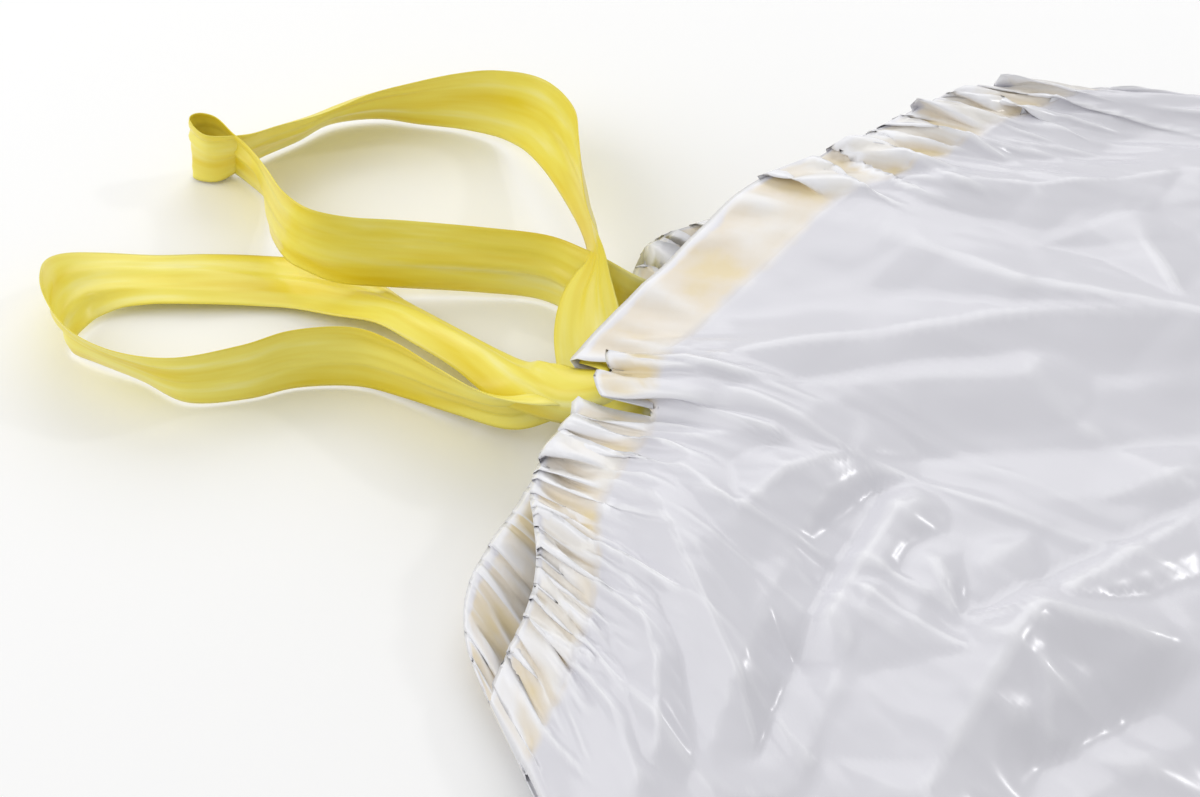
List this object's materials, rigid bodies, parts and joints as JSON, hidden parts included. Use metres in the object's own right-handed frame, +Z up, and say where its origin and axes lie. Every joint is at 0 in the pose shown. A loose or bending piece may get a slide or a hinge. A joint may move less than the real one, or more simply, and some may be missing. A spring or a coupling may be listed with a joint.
{
  "type": "drawstring litter box liner bag",
  "caption": "Flat white film bag lying down, its hemmed mouth gathered on two yellow drawtapes that are pulled out as loops at the thumb notch.",
  "frame": {"origin": "on the flat underside of the bag, 230 mm behind the middle of the mouth, on the surface that the bag lies on", "axes": "+X across the mouth from the far side seam to the near one, +Y from the mouth to the bottom fold, +Z up"},
  "size_m": [0.9118, 0.7, 0.0699],
  "materials": {
    "film": "thin glossy white film",
    "tape": "thin glossy yellow film tape"
  },
  "bodies": {
    "root": {"liner_bag": "film", "front_drawtape": "tape", "back_drawtape": "tape"}
  },
  "joints": []
}
